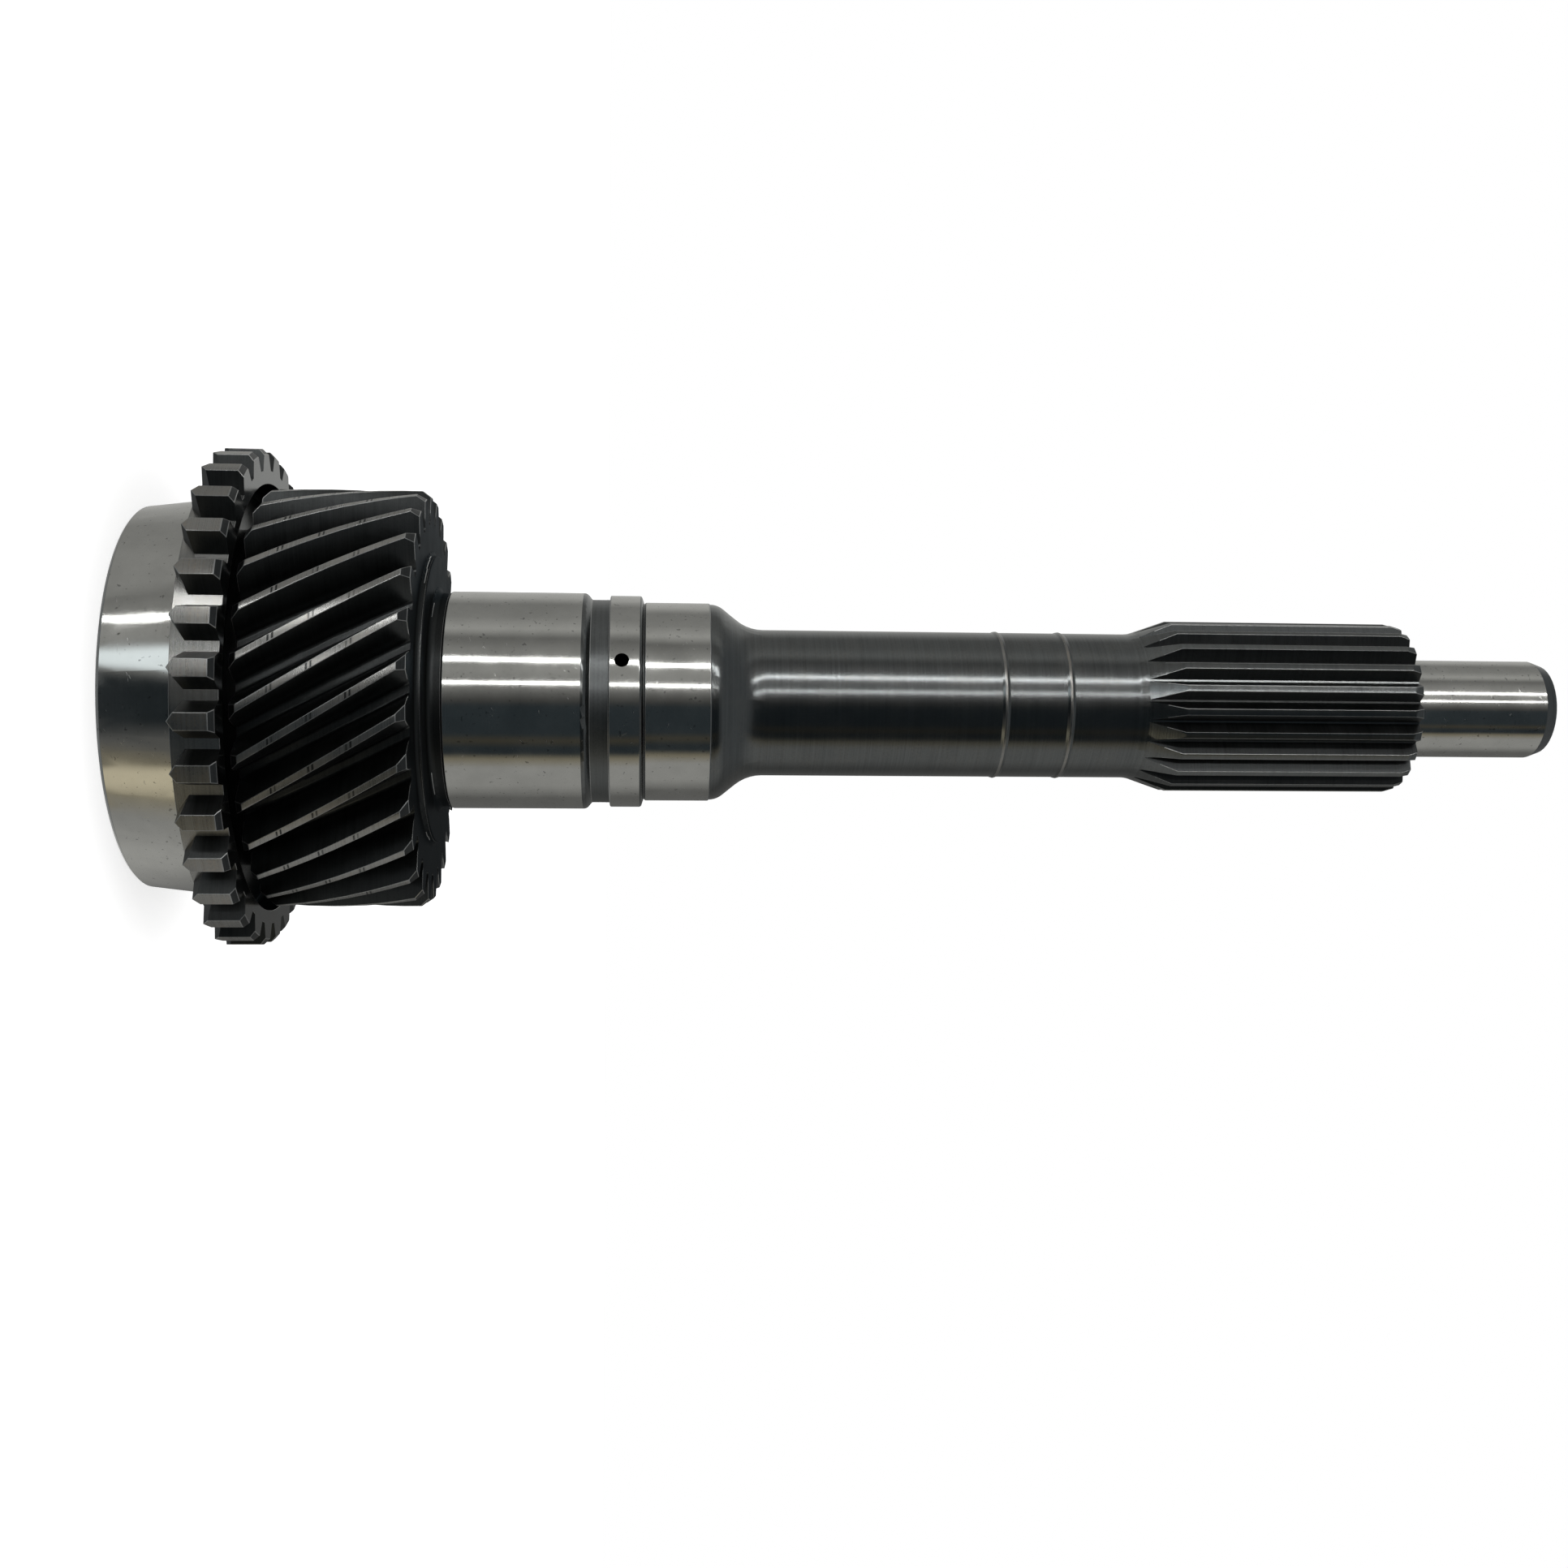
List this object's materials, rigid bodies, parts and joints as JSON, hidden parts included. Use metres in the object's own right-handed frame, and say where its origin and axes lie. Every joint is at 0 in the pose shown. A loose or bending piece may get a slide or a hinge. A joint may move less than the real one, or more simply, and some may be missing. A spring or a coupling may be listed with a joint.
{
  "type": "transmission input shaft",
  "caption": "Steel gearbox input shaft with an integral helical gear, a synchroniser clutch ring, ground bearing and seal seats, a splined end and a pilot tip.",
  "frame": {"origin": "centre of the clutch ring's end face, the end that the shaft stands on", "axes": "+Z along the shaft's axis, from the gear end to the pilot tip; the radial oil hole faces -Y and a little to -X"},
  "size_m": [0.0899, 0.09, 0.2613],
  "materials": {
    "shaft_steel": "case-hardened dark steel with ground bearing and seal seats",
    "ring_steel": "case-hardened dark steel teeth with a ground cone"
  },
  "bodies": {
    "root": {"input_shaft": "shaft_steel", "clutch_ring": "ring_steel"}
  },
  "joints": []
}
